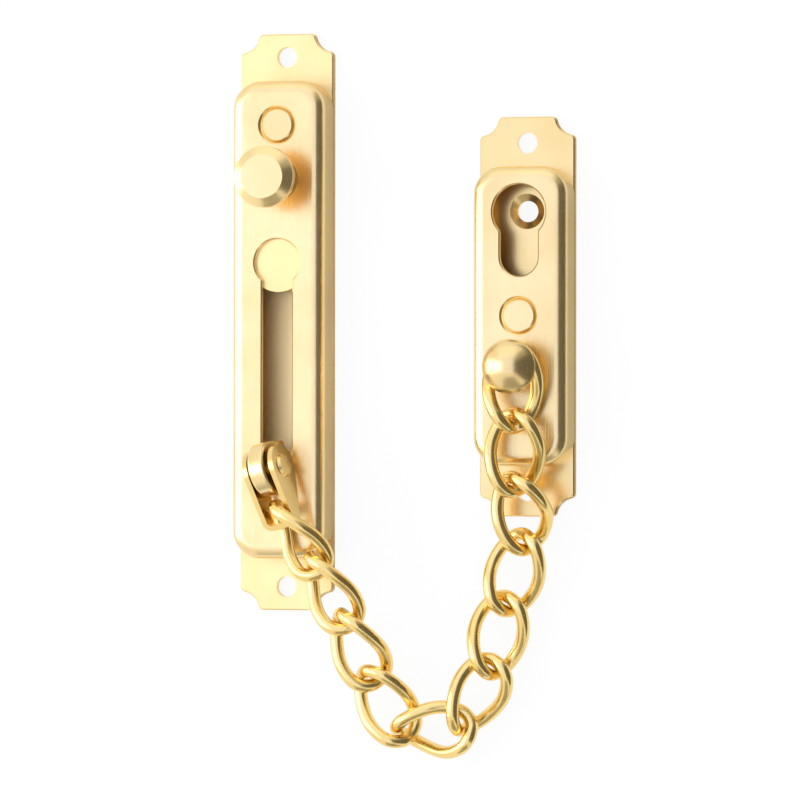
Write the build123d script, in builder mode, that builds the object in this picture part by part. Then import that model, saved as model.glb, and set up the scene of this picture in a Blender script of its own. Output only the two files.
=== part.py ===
"""Door chain: a slotted track plate, a keyhole anchor plate and a twisted curb chain between them.

The part lies on its back. X points right, Y up along the plates, Z out of the mounting faces.
The origin is at the centre of the track plate's back face. Sizes are in millimetres.
"""
import os
from math import acos, atan, atan2, cos, degrees, radians, sin, sqrt

import numpy as np
from build123d import *

# Base plates
plate_wid = 22.0
plate_thk = 2.0
plate_ease = 0.3
track_flange = 11.5
anchor_flange = 11.45
notch_r = 4.2
notch_in = 0.15
notch_ease = 1.2
screw_r = 2.4
track_screw_edge = 5.35
anchor_screw_edge = 5.9
spare_off = 0.35
spare_sink_r = 4.0
spare_sink_deg = 120.0
cut_over = 1.0

# Pressed covers
cover_rise = 8.0
sheet = 1.2
cover_draft = 1.0
cover_corner = 6.4
cover_round = 3.0
mouth_ease = 0.25
track_cover_len = 109.0
track_cover_y = 0.4
anchor_cover_len = 67.5
tab_wid = 3.0
tab_thk = 0.9
tab_x = 2.8
tab_gap = 0.1

# Rivets
rivet_head_r = 3.75
rivet_head_thk = 0.6
dish_wid = 0.75
shank_r = 2.0
shoulder_r = 3.3
tail_r = 2.9
tail_short = 0.1
track_rivet_edge = 10.2

# Leaf spring and release knob
leaf_thk = 0.75
leaf_gap = 0.05
leaf_wid = 10.0
leaf_tail = 5.0
leaf_room = 0.8
leaf_hole_gap = 0.6
pad_r = 6.7
entry_drop = 19.0
entry_r = 5.4
knob_drop = 12.3
knob_r = 6.95
knob_flat_r = 4.9
knob_stem_r = 4.3
knob_stem_gap = 0.4
knob_rise = 12.0
knob_bevel = 1.4
knob_rim = 2.1
knob_ease = 0.25
knob_shank_r = 1.6
knob_tail_r = 2.6
knob_tail_thk = 0.7

# Slider
slot_wid = 7.2
slot_gap = 0.2
slider_edge = 20.4
head_r = 4.9
head_thk = 1.6
head_gap = 0.3
neck_over = 0.1
swivel_r = 1.6
swivel_gap = 0.05
swivel_tail_r = 2.9
swivel_tail_thk = 0.7
swivel_root = 0.2
lug_thk = 4.0
lug_r = 6.2
lug_gap = 0.05
lug_ease = 0.6
pin_z = 16.3

# Shackle
shackle_heading = -75.0
shackle_lean = 11.0
pin_r = 1.5
pin_gap = 0.05
pin_head_r = 2.7
pin_head_thk = 0.6
pin_head_slope = 30.0
strap_thk = 1.2
strap_gap = 0.8
ear_r = 5.0
bar_reach = 12.6
bar_depth = 2.6
bend_r = 1.0

# Anchor plate
keyhole_edge = 10.3
keyhole_r = 6.2
key_slot_wid = 8.9
key_slot_drop = 14.55
key_ease = 1.0
stud_edge = 22.25
stud_r = 6.05
stud_neck_r = 2.5
stud_under = 8.6
stud_rim = 0.9
stud_dome = 3.5

# Chain
wire = 3.0
link_half_len = 9.0
link_half_wid = 5.5
link_twist = 50.0
link_gap = 0.25
start_aside = 2.1
start_reach = 8.2
start_rise = 1.0
rest_gap = 0.5
stud_back = 4.3
link_heading = (-57, -62, -70, -60, 2, 61, 78, 74, 95, 85, 90)
link_roll = (44, 31, 17, 4, 25, 31, 18, 8, 7, 12, 18)
link_slack = (0.4, 0, 0.2, 0, 0, 0, 0, 0, 0, 0)
link_level = (1.13, 0.92, 0.42, 0.21, 0.28, 0.24, 0.12, 0.24, 0.94, 1.2, 1.06)

# Places and levels that follow from the sizes above
track_len = track_cover_len + 2 * track_flange
anchor_len = anchor_cover_len + 2 * anchor_flange
track_rivet_y = track_cover_y + track_cover_len / 2 - track_rivet_edge
knob_y = track_rivet_y - knob_drop
entry_y = knob_y - entry_drop
slider_y = track_cover_y - track_cover_len / 2 + slider_edge
keyhole_y = anchor_cover_len / 2 - keyhole_edge
spare_y = keyhole_y + spare_off
key_slot_low = keyhole_y - key_slot_drop
stud_y = stud_edge - anchor_cover_len / 2
cover_face = plate_thk + cover_rise
cover_under = cover_face - sheet
draft_deg = degrees(atan(cover_draft / cover_rise))
leaf_top = cover_under - leaf_gap
leaf_under = leaf_top - leaf_thk
leaf_end = track_rivet_y + leaf_tail
head_top = cover_under - head_gap
head_under = head_top - head_thk
neck_r = slot_wid / 2 - slot_gap
neck_top = cover_face + neck_over
lug_under = neck_top + lug_gap
strap_in = lug_thk + 2 * strap_gap
strap_wid = strap_in + 2 * strap_thk
anchor_rivet_y = 0.0


def round_piece(profile, x, y):
    """A turned piece on the upright axis at x, y, from its outline of radius and height points."""
    with BuildPart() as turned:
        with BuildSketch(Plane((x, y, 0), x_dir=(1, 0, 0), z_dir=(0, -1, 0))):
            with BuildLine():
                Polyline(*profile, close=True)
            make_face()
        revolve(axis=Axis((x, y, 0), (0, 0, 1)))
    return turned.part


def notched_plate(length, screw_edge, x, y):
    """A base plate with a concave notch at each corner and a screw hole at each end."""
    with BuildPart() as plate:
        with BuildSketch(Plane((x, y, 0))) as outline:
            Rectangle(plate_wid, length)
            with GridLocations(plate_wid - 2 * notch_in, length, 2, 2):
                Circle(notch_r, mode=Mode.SUBTRACT)
            fillet(outline.vertices(), notch_ease)
            with GridLocations(0, length - 2 * screw_edge, 1, 2):
                Circle(screw_r, mode=Mode.SUBTRACT)
        extrude(amount=plate_thk)
        front = plate.faces().sort_by(Axis.Z)[-1]
        chamfer(front.outer_wire().edges(), plate_ease)
    return plate.part


def drafted_box(wid, length, corner, rise, edge, x, y):
    """A solid box on the base plate with rounded corners, drafted walls and a rounded face edge."""
    with BuildPart() as box:
        with BuildSketch(Plane((x, y, plate_thk))):
            RectangleRounded(wid, length, corner)
        extrude(amount=rise, taper=draft_deg)
        fillet(box.faces().sort_by(Axis.Z)[-1].outer_wire().edges(), edge)
    return box.part


def pressed_cover(length, x, y):
    """A pressed sheet cover, open to the base plate."""
    inner = (plate_wid - 2 * sheet, length - 2 * sheet, cover_corner - sheet, cover_rise - sheet)
    with BuildPart() as cover:
        add(drafted_box(plate_wid, length, cover_corner, cover_rise, cover_round, x, y))
        add(drafted_box(*inner, cover_round - sheet, x, y), mode=Mode.SUBTRACT)
    return cover.part


def rivet_dish(x, y):
    """The dished seat of a rivet head in a cover's face, and the shank's hole below it."""
    low = cover_face - rivet_head_thk
    outline = [
        (0, cover_under - cut_over),
        (shank_r, cover_under - cut_over),
        (shank_r, low),
        (rivet_head_r, low),
        (rivet_head_r + dish_wid, cover_face),
        (rivet_head_r + dish_wid, cover_face + cut_over),
        (0, cover_face + cut_over),
    ]
    return round_piece(outline, x, y)


def tail_seat(x, y):
    """The countersunk hole in a base plate that takes a peened tail."""
    outline = [
        (0, -cut_over),
        (tail_r + cut_over, -cut_over),
        (shank_r, tail_r - shank_r),
        (shank_r, plate_thk + cut_over),
        (0, plate_thk + cut_over),
    ]
    return round_piece(outline, x, y)


def tail_points():
    """The peened tail's outline, from the axis to the top of the base plate."""
    return [
        (0, tail_short),
        (tail_r - tail_short, tail_short),
        (shank_r, tail_r - shank_r),
        (shank_r, plate_thk),
    ]


def flush_rivet(shoulder_top, x, y):
    """A rivet with a flat flush head, a shoulder on the base plate and a peened tail."""
    outline = tail_points() + [
        (shoulder_r, plate_thk),
        (shoulder_r, shoulder_top),
        (shank_r, shoulder_top),
        (shank_r, cover_face - rivet_head_thk),
        (rivet_head_r, cover_face - rivet_head_thk),
        (rivet_head_r, cover_face - plate_ease),
        (rivet_head_r - plate_ease, cover_face),
        (0, cover_face),
    ]
    return round_piece(outline, x, y)


# Chain link geometry. The link lies along its own X, and each end is twisted out of its plane.
twist = radians(link_twist)
flank_slope = atan(link_half_wid * twist / link_half_len)
link_tip = Vector(link_half_len, 0, 0)
link_tip_dir = Vector(0, cos(twist), -sin(twist))
link_side = Vector(0, link_half_wid, 0)
link_side_dir = Vector(-cos(flank_slope), 0, sin(flank_slope))
span = link_side - link_tip
quad_a = 2 * (1 - link_tip_dir.dot(link_side_dir))
quad_b = 2 * span.dot(link_tip_dir + link_side_dir)
quad_c = -span.dot(span)
reach = (-quad_b + sqrt(quad_b * quad_b - 4 * quad_a * quad_c)) / (2 * quad_a)
link_meet = (link_tip + link_tip_dir * reach + link_side - link_side_dir * reach) / 2


def arc_points(start, start_dir, end, count):
    """Points along the arc that leaves start along start_dir and ends at end."""
    chord = end - start
    along = chord @ start_dir
    across = chord - along * start_dir
    sweep_angle = 2 * atan2(np.linalg.norm(across), along)
    radius = (chord @ chord) / (2 * np.linalg.norm(across))
    t = np.linspace(0, sweep_angle, count)[:, None]
    normal = across / np.linalg.norm(across)
    return start + radius * (np.sin(t) * start_dir + (1 - np.cos(t)) * normal)


def link_centreline():
    """Points along a whole link's centreline, in the link's own frame."""
    tip = np.array(tuple(link_tip))
    meet = np.array(tuple(link_meet))
    side = np.array(tuple(link_side))
    side_dir = np.array(tuple(link_side_dir))
    bow = arc_points(tip, np.array(tuple(link_tip_dir)), meet, 18)
    flank = arc_points(side, -side_dir, meet, 14)
    quarter = np.vstack([bow, flank])
    turns = ((1, 1, 1), (-1, 1, -1), (1, -1, -1), (-1, -1, 1))
    return np.vstack([quarter * np.array(turn) for turn in turns])


def link_frame(heading, rise, roll):
    """The link's axes as columns: along the heading, rising over its length, then rolled about itself."""
    plan = radians(heading)
    turn = radians(roll)
    slope = rise / (2 * link_half_len)
    level = sqrt(1 - slope * slope)
    ex = np.array([level * cos(plan), level * sin(plan), slope])
    left = np.array([-sin(plan), cos(plan), 0.0])
    up = np.cross(ex, left)
    ey = cos(turn) * left + sin(turn) * up
    return np.stack([ex, ey, np.cross(ex, ey)], 1)


def seat_link(before, before_dir, before_tip, heading, tip_z, roll, slack):
    """Seat a link in the one before it, as tight as the wires' gap and the joint's slack allow."""
    plan = radians(heading)
    along = before_dir + np.array([cos(plan), sin(plan), 0.0])
    along[2] = 0
    along = along / np.linalg.norm(along)
    left = np.array([-along[1], along[0], 0.0])
    best = (-wire, None, None)
    for back in np.arange(0.95 + slack, 1.6 + slack, 0.03):
        for aside in (0, 0.15, -0.15, 0.3, -0.3, 0.45):
            for rise in (0, 0.12, -0.12, 0.24, -0.24, 0.36, -0.36, 0.48, -0.48):
                start = before_tip + wire * (aside * left - back * along)
                start[2] += wire * rise
                axes = link_frame(heading, tip_z - start[2], roll)
                line = centreline @ axes.T + start + link_half_len * axes[:, 0]
                room = np.sqrt(((before[:, None] - line[None]) ** 2).sum(2).min()) - wire
                if room > best[0]:
                    best = (room, start, axes)
        if best[0] >= link_gap:
            break
    return best


# Chain placing, link by link from the shackle
centreline = link_centreline()
link_rest = centreline[:, 2].max() + wire / 2 + rest_gap
link_lines = []
link_planes = []
link_starts = []
link_tips = []
link_rooms = []
for number, heading in enumerate(link_heading):
    tip_z = link_rest + link_level[number] * cover_face
    if number == 0:
        start = np.array([start_aside, slider_y - start_reach, pin_z + start_rise])
        axes = link_frame(heading, tip_z - start[2], link_roll[number])
    else:
        seat = (link_lines[-1], axes[:, 0], link_tips[-1], heading, tip_z, link_roll[number])
        room, start, axes = seat_link(*seat, link_slack[number - 1])
        link_rooms.append(room)
    middle = start + link_half_len * axes[:, 0]
    link_lines.append(centreline @ axes.T + middle)
    link_starts.append(start)
    link_tips.append(start + 2 * link_half_len * axes[:, 0])
    link_planes.append(Plane(tuple(middle), x_dir=tuple(axes[:, 0]), z_dir=tuple(axes[:, 2])))

# The anchor plate hangs from the last link
stud_at = link_tips[-1] - stud_back * axes[:, 0]
anchor_x = float(stud_at[0])
anchor_y = float(stud_at[1]) - stud_y

os.makedirs("parts", exist_ok=True)

with BuildPart() as track_base_plate:
    add(notched_plate(track_len, track_screw_edge, 0, 0))
    add(tail_seat(0, track_rivet_y), mode=Mode.SUBTRACT)
    with BuildSketch(Plane((0, track_cover_y - track_cover_len / 2 + sheet / 2, 0))):
        with GridLocations(2 * tab_x, 0, 2, 1):
            Rectangle(tab_wid + 2 * tab_gap, tab_thk + 2 * tab_gap)
    extrude(amount=plate_thk, mode=Mode.SUBTRACT)
track_base_plate.part.label = "track_base_plate"
export_step(track_base_plate.part, "parts/track_base_plate.step")

with BuildPart() as track_cover:
    add(pressed_cover(track_cover_len, 0, track_cover_y))
    with BuildSketch(Plane((0, 0, cover_face))) as mouths:
        with Locations((0, entry_y)):
            Circle(entry_r)
        with Locations((0, (entry_y + slider_y - slot_gap) / 2)):
            SlotCenterToCenter(entry_y - slider_y + slot_gap, slot_wid, rotation=90)
        with Locations((0, knob_y)):
            Circle(knob_stem_r + knob_stem_gap)
    extrude(amount=-2 * sheet, mode=Mode.SUBTRACT)
    face = track_cover.faces().filter_by(Plane.XY).sort_by(Axis.Z)[-1]
    chamfer(face.inner_wires().edges(), mouth_ease)
    add(rivet_dish(0, track_rivet_y), mode=Mode.SUBTRACT)
    with BuildSketch(Plane((0, track_cover_y - track_cover_len / 2 + sheet / 2, plate_thk))):
        with GridLocations(2 * tab_x, 0, 2, 1):
            Rectangle(tab_wid, tab_thk)
    extrude(amount=tail_short - plate_thk)
track_cover.part.label = "track_cover"
export_step(track_cover.part, "parts/track_cover.step")

with BuildPart() as track_rivet:
    add(flush_rivet(leaf_under - leaf_room, 0, track_rivet_y))
track_rivet.part.label = "track_rivet"
export_step(track_rivet.part, "parts/track_rivet.step")

with BuildPart() as leaf_spring:
    with BuildSketch(Plane((0, 0, leaf_under))):
        with Locations((0, (entry_y + leaf_end) / 2)):
            Rectangle(leaf_wid, leaf_end - entry_y)
        with Locations((0, entry_y)):
            Circle(pad_r)
        with Locations((0, track_rivet_y)):
            Circle(shank_r + leaf_hole_gap, mode=Mode.SUBTRACT)
        with Locations((0, knob_y)):
            Circle(knob_shank_r, mode=Mode.SUBTRACT)
    extrude(amount=leaf_thk)
leaf_spring.part.label = "leaf_spring"
export_step(leaf_spring.part, "parts/leaf_spring.step")

knob_top = cover_face + knob_rise
knob_outline = [
    (0, leaf_under - knob_tail_thk),
    (knob_tail_r, leaf_under - knob_tail_thk),
    (knob_tail_r, leaf_under),
    (knob_shank_r, leaf_under),
    (knob_shank_r, leaf_top),
    (knob_stem_r, leaf_top),
    (knob_stem_r, knob_top - knob_bevel - knob_rim),
    (knob_r, knob_top - knob_bevel - knob_rim),
    (knob_r, knob_top - knob_bevel),
    (knob_flat_r, knob_top),
    (0, knob_top),
]
with BuildPart() as release_knob:
    add(round_piece(knob_outline, 0, knob_y))
    rounds = release_knob.edges().filter_by(GeomType.CIRCLE)
    fillet(rounds.filter_by(lambda e: e.radius == knob_r), knob_ease)
release_knob.part.label = "release_knob"
export_step(release_knob.part, "parts/release_knob.step")

head_outline = [
    (swivel_r + swivel_gap, head_under),
    (head_r, head_under),
    (head_r, head_top),
    (neck_r, head_top),
    (neck_r, neck_top),
    (swivel_r + swivel_gap, neck_top),
]
with BuildPart() as slider_head:
    add(round_piece(head_outline, 0, slider_y))
slider_head.part.label = "slider_head"
export_step(slider_head.part, "parts/slider_head.step")

# The lug and the shackle share a frame at the pin: X along the heading, Y up, leaning off the upright
heading = radians(shackle_heading)
lean = radians(shackle_lean)
heading_dir = (cos(heading), sin(heading), 0)
pin_dir = (-sin(heading) * cos(lean), cos(heading) * cos(lean), sin(lean))
lug_up = (sin(heading) * sin(lean), -cos(heading) * sin(lean), cos(lean))
pin_centre = (0, slider_y, pin_z)
pin_axis = Axis(pin_centre, pin_dir)
lug_side = Plane(pin_centre, x_dir=heading_dir, z_dir=(-Vector(*pin_dir)))
pin_plan = Plane(pin_centre, x_dir=heading_dir, z_dir=lug_up)

swivel_outline = [
    (0, head_under - swivel_gap - swivel_tail_thk),
    (swivel_tail_r, head_under - swivel_gap - swivel_tail_thk),
    (swivel_tail_r, head_under - swivel_gap),
    (swivel_r, head_under - swivel_gap),
    (swivel_r, lug_under + swivel_root),
    (0, lug_under + swivel_root),
]
with BuildPart() as slider_lug:
    with BuildSketch(lug_side):
        Circle(lug_r)
        Rectangle(2 * lug_r, 2 * lug_r, align=(Align.CENTER, Align.MAX))
        Circle(pin_r + pin_gap, mode=Mode.SUBTRACT)
    extrude(amount=lug_thk / 2, both=True)
    split(bisect_by=Plane((0, 0, lug_under)), keep=Keep.TOP)
    sides = slider_lug.faces().filter_by(pin_axis)
    rims = sides.edges().filter_by(lambda e: e.center().Z > lug_under + lug_ease)
    fillet(rims.filter_by(lambda e: e.geom_type == GeomType.LINE or e.radius == lug_r), lug_ease)
    add(round_piece(swivel_outline, 0, slider_y))
slider_lug.part.label = "slider_lug"
export_step(slider_lug.part, "parts/slider_lug.step")

bar_out = bar_reach + strap_thk
bar_corner = sqrt(bar_out ** 2 + (bar_depth / 2) ** 2)
ear_angle = atan2(bar_depth / 2, bar_out) + acos(ear_r / bar_corner)
ear_touch = (ear_r * cos(ear_angle), ear_r * sin(ear_angle))
with BuildPart() as shackle_strap:
    with BuildSketch(pin_plan):
        with Locations(((bar_out - ear_r) / 2, 0)):
            Rectangle(bar_out + ear_r, strap_wid)
    extrude(amount=ear_r, both=True)
    upright_edges = shackle_strap.edges().filter_by(Axis(pin_centre, lug_up))
    fillet(upright_edges.sort_by(Axis(pin_centre, heading_dir))[-2:], bend_r + strap_thk)
    with BuildSketch(pin_plan) as inside:
        with Locations(((bar_reach - 2 * ear_r) / 2, 0)):
            Rectangle(bar_reach + 2 * ear_r, strap_in)
        fillet(inside.vertices().sort_by(Axis.X)[-2:], bend_r)
    extrude(amount=ear_r, both=True, mode=Mode.SUBTRACT)
    with BuildSketch(lug_side):
        with BuildLine():
            ear_low = (ear_touch[0], -ear_touch[1])
            Polyline(ear_touch, (bar_out, bar_depth / 2), (bar_out, -bar_depth / 2), ear_low)
            ThreePointArc(ear_low, (-ear_r, 0), ear_touch)
        make_face()
    extrude(amount=strap_wid, both=True, mode=Mode.INTERSECT)
    with BuildSketch(lug_side):
        Circle(pin_r)
    extrude(amount=strap_wid, both=True, mode=Mode.SUBTRACT)
shackle_strap.part.label = "shackle_strap"
export_step(shackle_strap.part, "parts/shackle_strap.step")

with BuildPart() as shackle_pin:
    with BuildSketch(lug_side):
        Circle(pin_r)
    extrude(amount=strap_wid / 2, both=True)
    for side in (1, -1):
        with BuildSketch(lug_side.offset(side * strap_wid / 2)):
            Circle(pin_head_r)
        extrude(amount=side * pin_head_thk, taper=pin_head_slope)
shackle_pin.part.label = "shackle_pin"
export_step(shackle_pin.part, "parts/shackle_pin.step")

for number, at in enumerate(link_planes, 1):
    tip = at.from_local_coords(link_tip)
    tip_dir = at.from_local_coords(link_tip_dir) - at.origin
    meet = at.from_local_coords(link_meet)
    side = at.from_local_coords(link_side)
    meet_far = at.from_local_coords(Vector(-link_meet.X, link_meet.Y, -link_meet.Z))
    tip_far = at.from_local_coords(-link_tip)
    with BuildPart() as chain_link:
        with BuildLine() as path:
            bow = TangentArc(tip, meet, tangent=tip_dir)
            flank = TangentArc(meet, side, tangent=bow % 1)
            flank_far = TangentArc(side, meet_far, tangent=flank % 1)
            TangentArc(meet_far, tip_far, tangent=flank_far % 1)
        with BuildSketch(Plane(tip, z_dir=tip_dir)):
            Circle(wire / 2)
        sweep(path=path.line)
        add(chain_link.part.rotate(Axis(at.origin, at.x_dir), 180))
    chain_link.part.label = f"chain_link_{number:02d}"
    export_step(chain_link.part, f"parts/chain_link_{number:02d}.step")

with BuildPart() as anchor_base_plate:
    add(notched_plate(anchor_len, anchor_screw_edge, anchor_x, anchor_y))
    add(tail_seat(anchor_x, anchor_y + anchor_rivet_y), mode=Mode.SUBTRACT)
    add(tail_seat(anchor_x, anchor_y + stud_y), mode=Mode.SUBTRACT)
    with Locations((anchor_x, anchor_y + spare_y, plate_thk)):
        CounterSinkHole(screw_r, spare_sink_r, plate_thk, spare_sink_deg)
anchor_base_plate.part.label = "anchor_base_plate"
export_step(anchor_base_plate.part, "parts/anchor_base_plate.step")

with BuildPart() as anchor_cover:
    add(pressed_cover(anchor_cover_len, anchor_x, anchor_y))
    with BuildSketch(Plane((anchor_x, anchor_y, cover_face))) as keyhole:
        with Locations((0, keyhole_y)):
            Circle(keyhole_r)
        with Locations((0, (keyhole_y + key_slot_low + key_slot_wid / 2) / 2)):
            SlotCenterToCenter(keyhole_y - key_slot_low - key_slot_wid / 2, key_slot_wid, rotation=90)
        necks = keyhole.vertices().filter_by(lambda v: abs(abs(v.X) - key_slot_wid / 2) < 0.01)
        fillet(necks.sort_by(Axis.Y)[-2:], key_ease)
    extrude(amount=-2 * sheet, mode=Mode.SUBTRACT)
    face = anchor_cover.faces().filter_by(Plane.XY).sort_by(Axis.Z)[-1]
    chamfer(face.inner_wires().edges(), mouth_ease)
    add(rivet_dish(anchor_x, anchor_y + anchor_rivet_y), mode=Mode.SUBTRACT)
    with Locations((anchor_x, anchor_y + stud_y, cover_face)):
        Hole(stud_neck_r, depth=2 * sheet)
anchor_cover.part.label = "anchor_cover"
export_step(anchor_cover.part, "parts/anchor_cover.step")

with BuildPart() as anchor_rivet:
    add(flush_rivet(cover_under, anchor_x, anchor_y + anchor_rivet_y))
anchor_rivet.part.label = "anchor_rivet"
export_step(anchor_rivet.part, "parts/anchor_rivet.step")

stud_low = cover_face + stud_under
stud_outline = tail_points() + [
    (shoulder_r, plate_thk),
    (shoulder_r, cover_under),
    (stud_neck_r, cover_under),
    (stud_neck_r, stud_low),
    (stud_r, stud_low),
    (stud_r, stud_low + stud_rim),
]
dome_r = (stud_r ** 2 + stud_dome ** 2) / (2 * stud_dome)
dome_mid = atan2(stud_r, dome_r - stud_dome) / 2
dome_low = stud_low + stud_rim + stud_dome - dome_r
with BuildPart() as anchor_stud:
    with BuildSketch(Plane((anchor_x, anchor_y + stud_y, 0), x_dir=(1, 0, 0), z_dir=(0, -1, 0))):
        with BuildLine():
            Polyline(*stud_outline)
            dome_points = (
                (stud_r, stud_low + stud_rim),
                (dome_r * sin(dome_mid), dome_low + dome_r * cos(dome_mid)),
                (0, dome_low + dome_r),
            )
            ThreePointArc(*dome_points)
            Line((0, dome_low + dome_r), stud_outline[0])
        make_face()
    revolve(axis=Axis((anchor_x, anchor_y + stud_y, 0), (0, 0, 1)))
anchor_stud.part.label = "anchor_stud"
export_step(anchor_stud.part, "parts/anchor_stud.step")
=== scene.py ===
"""Door chain in satin and polished brass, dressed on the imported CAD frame."""
import math

import bpy
from mathutils import Matrix, Vector


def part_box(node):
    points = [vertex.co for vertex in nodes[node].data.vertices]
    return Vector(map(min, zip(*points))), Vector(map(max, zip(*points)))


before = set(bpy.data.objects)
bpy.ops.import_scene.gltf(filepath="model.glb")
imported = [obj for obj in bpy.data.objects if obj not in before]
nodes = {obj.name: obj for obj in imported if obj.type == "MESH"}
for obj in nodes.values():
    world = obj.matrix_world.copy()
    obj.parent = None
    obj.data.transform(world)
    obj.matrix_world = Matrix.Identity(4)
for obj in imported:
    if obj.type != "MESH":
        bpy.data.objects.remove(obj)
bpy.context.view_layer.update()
MM = 0.001
QUAD = [(0, 1, 2, 3)]


def node_tree(name):
    """A new material, its cleared node tree and its shader, linked to an output."""
    mat = bpy.data.materials.new(name)
    mat.use_nodes = True
    tree = mat.node_tree
    tree.nodes.clear()
    out = tree.nodes.new("ShaderNodeOutputMaterial")
    bsdf = tree.nodes.new("ShaderNodeBsdfPrincipled")
    tree.links.new(bsdf.outputs["BSDF"], out.inputs["Surface"])
    return mat, tree, bsdf


def noise(tree, vector, scale, detail, rough=0.5):
    """A noise texture fed by a vector socket."""
    tex = tree.nodes.new("ShaderNodeTexNoise")
    tex.inputs["Scale"].default_value = scale
    tex.inputs["Detail"].default_value = detail
    tex.inputs["Roughness"].default_value = rough
    tree.links.new(vector, tex.inputs["Vector"])
    return tex.outputs["Fac"]


def stretched(tree, scale):
    """Object coordinates in metres, scaled along each axis."""
    coord = tree.nodes.new("ShaderNodeTexCoord")
    mapping = tree.nodes.new("ShaderNodeMapping")
    mapping.inputs["Scale"].default_value = scale
    tree.links.new(coord.outputs["Object"], mapping.inputs["Vector"])
    return mapping.outputs["Vector"]


def ramp(tree, fac, stops):
    """A colour ramp over a factor, from (position, colour) stops."""
    node = tree.nodes.new("ShaderNodeValToRGB")
    elements = node.color_ramp.elements
    while len(elements) < len(stops):
        elements.new(0.5)
    for element, (position, colour) in zip(elements, stops):
        element.position = position
        element.color = (*colour, 1.0)
    tree.links.new(fac, node.inputs["Fac"])
    return node.outputs["Color"]


def span(tree, fac, low, high):
    """A factor of 0 to 1 mapped to a range."""
    node = tree.nodes.new("ShaderNodeMapRange")
    node.inputs["To Min"].default_value = low
    node.inputs["To Max"].default_value = high
    tree.links.new(fac, node.inputs["Value"])
    return node.outputs["Result"]


def bumped(tree, bsdf, layers):
    """Bump layers of (height socket, strength, distance), one on another."""
    last = None
    for height, strength, distance in layers:
        node = tree.nodes.new("ShaderNodeBump")
        node.inputs["Strength"].default_value = strength
        node.inputs["Distance"].default_value = distance
        tree.links.new(height, node.inputs["Height"])
        if last is not None:
            tree.links.new(last, node.inputs["Normal"])
        last = node.outputs["Normal"]
    tree.links.new(last, bsdf.inputs["Normal"])


# Materials: noise scales are per metre, bump heights in metres
UNIT = (1.0, 1.0, 1.0)
ALONG_Y = (9000.0, 60.0, 9000.0)
EVEN = (2500.0, 2500.0, 2500.0)
SATIN_DRIFT = 60.0
SATIN_PIT = 2600.0
SATIN_HEIGHT = 0.03 * MM
SATIN_LIGHT = 1.05
SATIN_DARK = (0.95, 0.92, 0.84)
POLISH_DRIFT = 180.0
POLISH_MARK = 900.0
POLISH_DARK = (0.96, 0.93, 0.85)
POLISH_WAVE = (0.12, 0.08 * MM)
POLISH_SCRATCH = (0.1, 0.01 * MM)


def satin_brass(name, tone, rough, grain, depth):
    """Brushed brass: fine grain along one axis, slow drift of tone, small pits."""
    mat, tree, bsdf = node_tree(name)
    bsdf.inputs["Metallic"].default_value = 1.0
    drift = noise(tree, stretched(tree, UNIT), SATIN_DRIFT, 2.0)
    light = tuple(min(1.0, c * SATIN_LIGHT) for c in tone)
    dark = tuple(c * k for c, k in zip(tone, SATIN_DARK))
    colour = ramp(tree, drift, [(0.3, dark), (0.7, light)])
    tree.links.new(colour, bsdf.inputs["Base Color"])
    streak = noise(tree, stretched(tree, grain), 1.0, 3.0, 0.6)
    pit = noise(tree, stretched(tree, UNIT), SATIN_PIT, 2.0)
    gloss = span(tree, streak, rough * 0.8, rough * 1.25)
    tree.links.new(gloss, bsdf.inputs["Roughness"])
    bumped(tree, bsdf, [(streak, depth, SATIN_HEIGHT), (pit, depth, SATIN_HEIGHT)])
    return mat


def polished_brass(name, tone, rough):
    """Polished plated brass: clean gloss with faint handling marks."""
    mat, tree, bsdf = node_tree(name)
    bsdf.inputs["Metallic"].default_value = 1.0
    drift = noise(tree, stretched(tree, UNIT), POLISH_DRIFT, 2.0)
    dark = tuple(c * k for c, k in zip(tone, POLISH_DARK))
    colour = ramp(tree, drift, [(0.35, dark), (0.65, tone)])
    tree.links.new(colour, bsdf.inputs["Base Color"])
    mark = noise(tree, stretched(tree, UNIT), POLISH_MARK, 3.0, 0.6)
    gloss = span(tree, mark, rough * 0.7, rough * 1.4)
    tree.links.new(gloss, bsdf.inputs["Roughness"])
    bumped(tree, bsdf, [(drift, *POLISH_WAVE), (mark, *POLISH_SCRATCH)])
    return mat


plate_brass = satin_brass("plate_brass", (0.92, 0.71, 0.36), 0.25, ALONG_Y, 0.35)
base_brass = satin_brass("base_brass", (0.94, 0.72, 0.36), 0.44, ALONG_Y, 0.35)
inner_brass = satin_brass("inner_brass", (0.94, 0.71, 0.33), 0.24, ALONG_Y, 0.2)
turned_brass = satin_brass("turned_brass", (0.92, 0.71, 0.355), 0.25, EVEN, 0.04)
spring_brass = satin_brass("spring_brass", (0.93, 0.70, 0.32), 0.32, ALONG_Y, 0.35)
chain_brass = polished_brass("chain_brass", (0.94, 0.705, 0.28), 0.19)
strap_brass = polished_brass("strap_brass", (0.93, 0.68, 0.28), 0.22)

LOOKS = {
    "track_base_plate": base_brass,
    "anchor_base_plate": inner_brass,
    "leaf_spring": spring_brass,
    "release_knob": turned_brass,
    "anchor_stud": turned_brass,
    "track_rivet": turned_brass,
    "anchor_rivet": turned_brass,
    "slider_head": strap_brass,
    "slider_lug": turned_brass,
    "shackle_strap": strap_brass,
    "shackle_pin": strap_brass,
}
for name, piece in nodes.items():
    fallback = chain_brass if name.startswith("chain_link") else plate_brass
    piece.data.materials.clear()
    piece.data.materials.append(LOOKS.get(name, fallback))

# The covers' walls stand nearly upright in the photograph; the solids have more draft
COVER_RISE = 8.0 * MM
COVER_CORNER = 6.4 * MM
ROUND_INSET = 3.7 * MM
WALL_SHIFT = 0.9 * MM


def past(value, low, high):
    """How far a value lies outside a span, with its sign."""
    return value - min(max(value, low), high)


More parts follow.
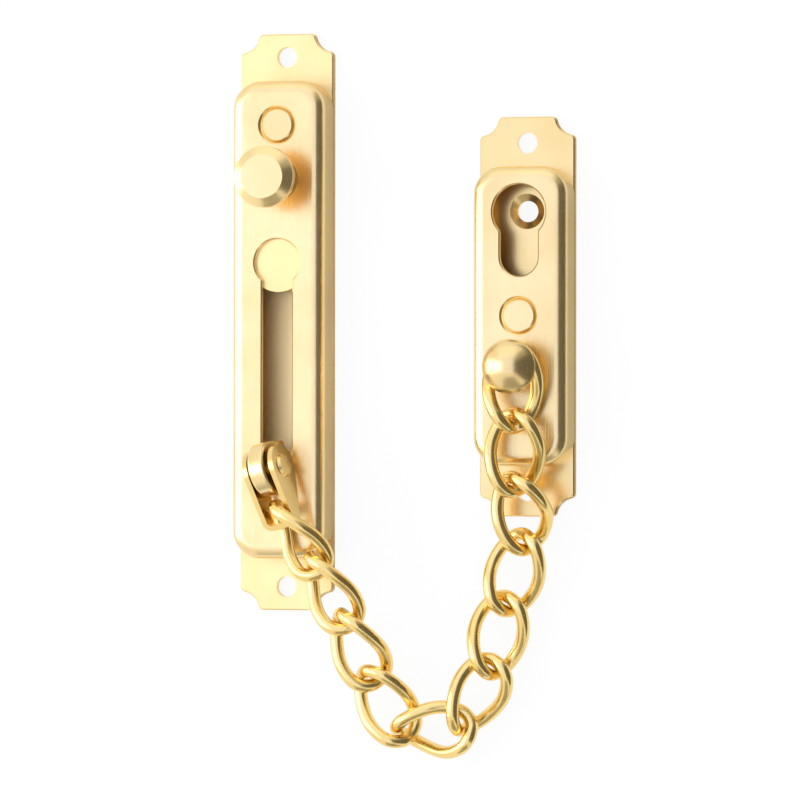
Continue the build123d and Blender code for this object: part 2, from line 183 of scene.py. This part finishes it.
def upright_walls(piece):
    """Displace a cover's walls and rounding outward in plan, most at the face."""
    points = [vertex.co.copy() for vertex in piece.data.vertices]
    low = [min(point[axis] for point in points) + COVER_CORNER for axis in range(2)]
    high = [max(point[axis] for point in points) - COVER_CORNER for axis in range(2)]
    top = max(point.z for point in points)
    for axis, letter in enumerate("XY"):
        for sign in (1.0, -1.0):
            group = piece.vertex_groups.new(name=f"wall_{letter}{'+' if sign > 0 else '-'}")
            for index, point in enumerate(points):
                out = Vector([past(point[k], low[k], high[k]) for k in range(2)])
                climb = max(0.0, (point.z - top + COVER_RISE) / COVER_RISE)
                if out.length > COVER_CORNER - ROUND_INSET and sign * out[axis] > 0:
                    group.add([index], sign * out[axis] / out.length * climb, "REPLACE")
            wall_mod = piece.modifiers.new(group.name, "DISPLACE")
            wall_mod.direction = letter
            wall_mod.mid_level = 0.0
            wall_mod.strength = sign * WALL_SHIFT
            wall_mod.vertex_group = group.name


for name in ("track_cover", "anchor_cover"):
    upright_walls(nodes[name])

# Floor
FLOOR_HALF = 6.0
FLOOR_Z = -0.2 * MM
FLOOR_TONE = (0.93, 0.925, 0.92)
FLOOR_GLOW = 0.9


def matt(bsdf, colour, rough):
    """Set a shader to a dull surface without gloss."""
    bsdf.inputs["Base Color"].default_value = (*colour, 1.0)
    bsdf.inputs["Roughness"].default_value = rough
    bsdf.inputs["Specular IOR Level"].default_value = 0.0


def stage_quad(name, corners):
    """A four-cornered piece of the stage, without a material yet."""
    mesh = bpy.data.meshes.new(name)
    mesh.from_pydata(corners, [], QUAD)
    obj = bpy.data.objects.new(name, mesh)
    bpy.context.scene.collection.objects.link(obj)
    return obj


def flat(x0, y0, x1, y1, z):
    """The corners of a level rectangle."""
    return [(x0, y0, z), (x1, y0, z), (x1, y1, z), (x0, y1, z)]


def wall(x0, y0, x1, y1, top):
    """The corners of an upright card."""
    return [(x0, y0, 0.0), (x1, y1, 0.0), (x1, y1, top), (x0, y0, top)]


def background_rays(tree):
    """1 for camera, glossy and transmission rays, which see the background as it looks."""
    path = tree.nodes.new("ShaderNodeLightPath")
    seen = path.outputs["Is Camera Ray"]
    for ray in ("Is Glossy Ray", "Is Transmission Ray"):
        either = tree.nodes.new("ShaderNodeMath")
        either.operation = "MAXIMUM"
        tree.links.new(seen, either.inputs[0])
        tree.links.new(path.outputs[ray], either.inputs[1])
        seen = either.outputs[0]
    return seen


floor = stage_quad("floor", flat(-FLOOR_HALF, -FLOOR_HALF, FLOOR_HALF, FLOOR_HALF, FLOOR_Z))
floor_mat, tree, bsdf = node_tree("floor_white")
matt(bsdf, FLOOR_TONE, 0.9)
glow = tree.nodes.new("ShaderNodeEmission")
glow.inputs["Strength"].default_value = 1.0
mix = tree.nodes.new("ShaderNodeMixShader")
tree.links.new(span(tree, background_rays(tree), 0.0, FLOOR_GLOW), mix.inputs["Fac"])
tree.links.new(bsdf.outputs["BSDF"], mix.inputs[1])
tree.links.new(glow.outputs["Emission"], mix.inputs[2])
tree.links.new(mix.outputs["Shader"], tree.nodes["Material Output"].inputs["Surface"])
floor.data.materials.append(floor_mat)

# Lamps: place, aim, size, radiance and colour
PLAIN = (1.0, 1.0, 1.0)
SKY = (0.2, 0.5, 2.0)
PANELS = {
    "overhead": ((-0.32, 0.3, 1.3), (-0.32, 0.3, 0.0), (1.76, 1.8), 0.2, SKY),
    "left": ((-1.05, 0.0, 0.38), (0.03, -0.02, 0.0), (0.7, 2.2), 2.1, PLAIN),
    "top": ((-0.2, 1.25, 0.75), (0.0, 0.0, 0.0), (1.6, 1.2), 0.2, PLAIN),
}


def lamp(name, place, aim, size, radiance, colour):
    """A soft area lamp of an even brightness, aimed at a point."""
    data = bpy.data.lights.new(name, "AREA")
    data.shape = "RECTANGLE"
    data.size, data.size_y = size
    data.energy = radiance * math.pi * size[0] * size[1]
    data.color = colour
    lamp_object = bpy.data.objects.new(name, data)
    lamp_object.location = place
    heading = Vector(aim) - Vector(place)
    lamp_object.rotation_euler = heading.to_track_quat("-Z", "Y").to_euler()
    lamp_object.visible_camera = False
    bpy.context.scene.collection.objects.link(lamp_object)


for name, settings in PANELS.items():
    lamp(name, *settings)

# Cards that only reflections see, for the dark bands on the right of each form, and for the
# painted shade of the floor beside the plates
TABLE_Z = 0.3 * MM
APRON = 10.0 * MM
CARD_X = 0.45
DARK_CARD = (0.125, 0.116, 0.098)
GREY_CARD = (0.36, 0.34, 0.29)
# Warm grey card colour: painted shade of the floor next to each plate, warmed as if by
# light off the brass
FLOOR_SHADE_CARD = (0.71, 0.68, 0.55)


def card(name, corners, colour):
    """A dull card that only reflections see."""
    obj = stage_quad(name, corners)
    mat, _, card_bsdf = node_tree(name)
    matt(card_bsdf, colour, 1.0)
    obj.data.materials.append(mat)
    obj.visible_camera = False
    obj.visible_diffuse = False
    obj.visible_shadow = False


card("flag_table", flat(0.095, -0.4, CARD_X, 0.3, TABLE_Z), DARK_CARD)
# Aprons along each base plate's right edge: painted floor shade, which the covers' right
# walls reflect
for name in ("track_base_plate", "anchor_base_plate"):
    low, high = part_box(name)
    apron = flat(high[0] - APRON / 2, low[1], high[0] + APRON, high[1], TABLE_Z)
    card("floor_shade_apron_" + name, apron, FLOOR_SHADE_CARD)
card("flag_right", wall(CARD_X, -0.4, CARD_X, 0.3, 1.05), DARK_CARD)
card("flag_high", wall(CARD_X, 0.3, CARD_X, 0.6, 1.05), GREY_CARD)
card("flag_low", wall(-0.25, -0.75, CARD_X, -0.75, 0.9), GREY_CARD)

world = bpy.data.worlds.new("studio")
bpy.context.scene.world = world
world.use_nodes = True
back = world.node_tree.nodes["Background"]
back.inputs["Strength"].default_value = 1.0
back.inputs["Color"].default_value = (1.0, 1.0, 1.0, 1.0)

# Camera, fitted to the plates' corners and holes in the photograph
CAMERA_AT = Vector((328.054, -25.122, 1090.44)) * MM
YAW, PITCH, ROLL = 0.2699, 0.0064, 0.0010
FOCAL_PX = 4960.82
FRAME_PX = 800.0
SENSOR = 36.0
lens = bpy.data.cameras.new("camera")
lens.sensor_width = SENSOR
lens.lens = SENSOR * FOCAL_PX / FRAME_PX
camera = bpy.data.objects.new("camera", lens)
camera.matrix_world = (
    Matrix.Translation(CAMERA_AT)
    @ Matrix.Rotation(YAW, 4, "Y")
    @ Matrix.Rotation(PITCH, 4, "X")
    @ Matrix.Rotation(ROLL, 4, "Z")
)
bpy.context.scene.collection.objects.link(camera)
bpy.context.scene.camera = camera
bpy.context.scene.view_settings.view_transform = "Standard"
